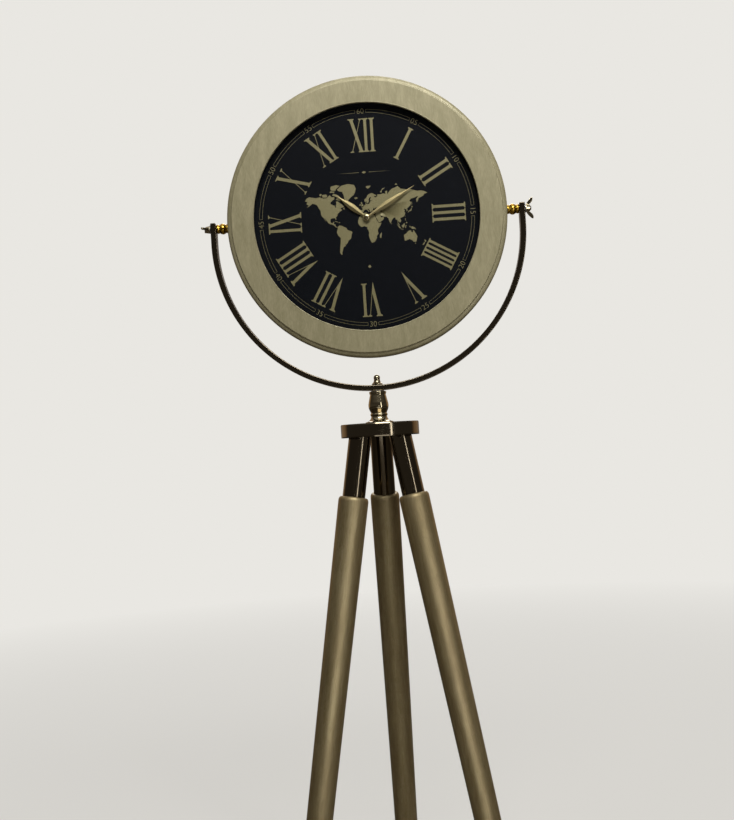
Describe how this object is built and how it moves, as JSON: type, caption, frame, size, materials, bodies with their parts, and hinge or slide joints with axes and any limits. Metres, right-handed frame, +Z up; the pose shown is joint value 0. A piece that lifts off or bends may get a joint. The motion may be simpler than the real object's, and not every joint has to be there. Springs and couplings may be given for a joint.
{
  "type": "floor clock",
  "caption": "Tripod floor clock: a large round dial in a painted wooden ring, tilting in a bent metal yoke that swivels on a turned stem above splayed wooden legs.",
  "frame": {"origin": "on the floor, in the middle of the whole object's outline seen from above", "axes": "+Z up, the dial faces -Y, +X is to the viewer's right and runs along the tilt axis"},
  "size_m": [0.5966, 0.371, 1.5981],
  "materials": {
    "champagne_wood": "champagne-gold satin lacquer over fine wood grain",
    "champagne_leg": "champagne-gold satin lacquer on turned wood",
    "black_nickel": "polished black nickel plate on steel",
    "polished_nickel": "polished warm nickel plate",
    "brass": "turned and polished",
    "zinc_steel": "bright zinc plate",
    "old_gold": "stamped sheet brass, gilt lacquer",
    "dial_print": "matt near-black print with old-gold figures",
    "black_plastic": "moulded, fine texture",
    "white_plastic": "moulded, smooth",
    "board": "bare phenolic board",
    "copper": "enamelled copper wire winding",
    "clear_glass": "clear flat glass",
    "hardboard": "smooth brown hardboard",
    "rubber": "matt",
    "battery_wrap": "plain glossy sleeve"
  },
  "bodies": {
    "stand": {"wood_leg_right": "champagne_leg", "wood_leg_left": "champagne_leg", "wood_leg_rear": "champagne_leg", "leg_sleeve_right": "black_nickel", "leg_sleeve_left": "black_nickel", "leg_sleeve_rear": "black_nickel", "leg_rod_right": "zinc_steel", "leg_rod_left": "zinc_steel", "leg_rod_rear": "zinc_steel", "foot_pad_right": "rubber", "foot_pad_left": "rubber", "foot_pad_rear": "rubber", "head_plate": "black_nickel", "stem_washer": "zinc_steel", "stem_nut": "zinc_steel", "stem_column": "polished_nickel", "swivel_washer": "zinc_steel", "finial_nut": "polished_nickel", "stem_rod": "zinc_steel"},
    "yoke": {"yoke_bar": "black_nickel"},
    "clock": {"bezel_ring": "champagne_wood", "case_ring": "champagne_wood", "glass": "clear_glass", "dial_spacer": "black_plastic", "dial": "dial_print", "back_panel": "hardboard", "case_screw_1": "zinc_steel", "case_screw_2": "zinc_steel", "case_screw_3": "zinc_steel", "case_screw_4": "zinc_steel", "case_screw_5": "zinc_steel", "case_screw_6": "zinc_steel", "case_insert_right": "brass", "case_insert_left": "brass", "pivot_stud_right": "zinc_steel", "pivot_stud_left": "zinc_steel", "pivot_spacer_right": "brass", "pivot_spacer_left": "brass", "pivot_washer_right": "zinc_steel", "pivot_washer_left": "zinc_steel", "movement_case": "black_plastic", "movement_cover": "white_plastic", "mount_washer": "rubber", "mount_nut": "brass", "battery": "battery_wrap", "battery_contact_plus": "polished_nickel", "battery_contact_minus": "polished_nickel", "drive_coil": "copper", "stator_plate": "zinc_steel", "circuit_board": "board", "quartz_crystal": "polished_nickel"},
    "minute": {"minute_arbor": "brass", "minute_hand": "old_gold", "hand_cap": "brass"},
    "hour": {"hour_wheel": "brass", "hour_hand": "old_gold"},
    "setting": {"reverse_wheel": "brass", "set_knob": "white_plastic"},
    "wing_right": {"wing_nut_right": "zinc_steel"},
    "wing_left": {"wing_nut_left": "zinc_steel"}
  },
  "joints": [
    {"name": "yoke_swivel", "type": "hinge", "parent": "stand", "child": "yoke", "pos_m": [0, -0.05503, 1.0429], "axis": [0, 0, 1], "continuous": true},
    {"name": "clock_tilt", "type": "hinge", "parent": "yoke", "child": "clock", "pos_m": [0, -0.05503, 1.3479], "axis": [1, 0, 0], "continuous": true},
    {"name": "minute_turn", "type": "hinge", "parent": "clock", "child": "minute", "pos_m": [0, -0.05503, 1.3479], "axis": [0, 0.9986, 0.0523], "continuous": true},
    {"name": "hour_turn", "type": "hinge", "parent": "clock", "child": "hour", "pos_m": [0, -0.05503, 1.3479], "axis": [0, 0.9986, 0.0523], "continuous": true},
    {"name": "setting_turn", "type": "hinge", "parent": "clock", "child": "setting", "pos_m": [-0.01039, -0.05535, 1.35389], "axis": [0, 0.9986, 0.0523], "continuous": true},
    {"name": "wing_right_turn", "type": "hinge", "parent": "clock", "child": "wing_right", "pos_m": [0.2875, -0.05503, 1.3479], "axis": [1, 0, 0], "continuous": true},
    {"name": "wing_left_turn", "type": "hinge", "parent": "clock", "child": "wing_left", "pos_m": [-0.2875, -0.05503, 1.3479], "axis": [1, 0, 0], "continuous": true}
  ],
  "couplings": [
    {"joint": "hour_turn", "follows": "minute_turn", "ratio": 0.083333},
    {"joint": "setting_turn", "follows": "minute_turn", "ratio": -0.33333}
  ]
}
